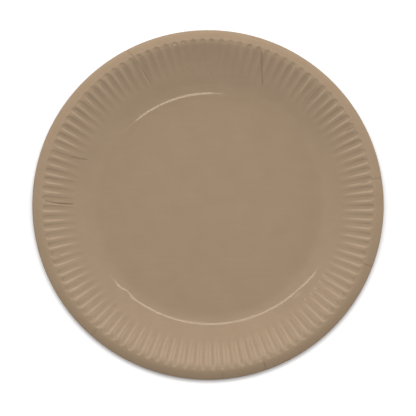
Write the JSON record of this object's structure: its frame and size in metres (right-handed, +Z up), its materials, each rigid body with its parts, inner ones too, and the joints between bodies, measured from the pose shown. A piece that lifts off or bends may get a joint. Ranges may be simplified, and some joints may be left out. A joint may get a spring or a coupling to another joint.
{
  "type": "paper plate",
  "caption": "Round disposable paper plate with a flat well, a sloping wall pressed into radial flutes and a lip that turns down, for serving food.",
  "frame": {"origin": "on the table, under the centre of the flat well", "axes": "+Z up along the plate's axis; X and Y lie in the plane of the well"},
  "size_m": [0.23, 0.23, 0.015],
  "materials": {
    "plate": "coated tan paperboard, semi-gloss on top"
  },
  "bodies": {
    "root": {"plate": "plate"}
  },
  "joints": []
}
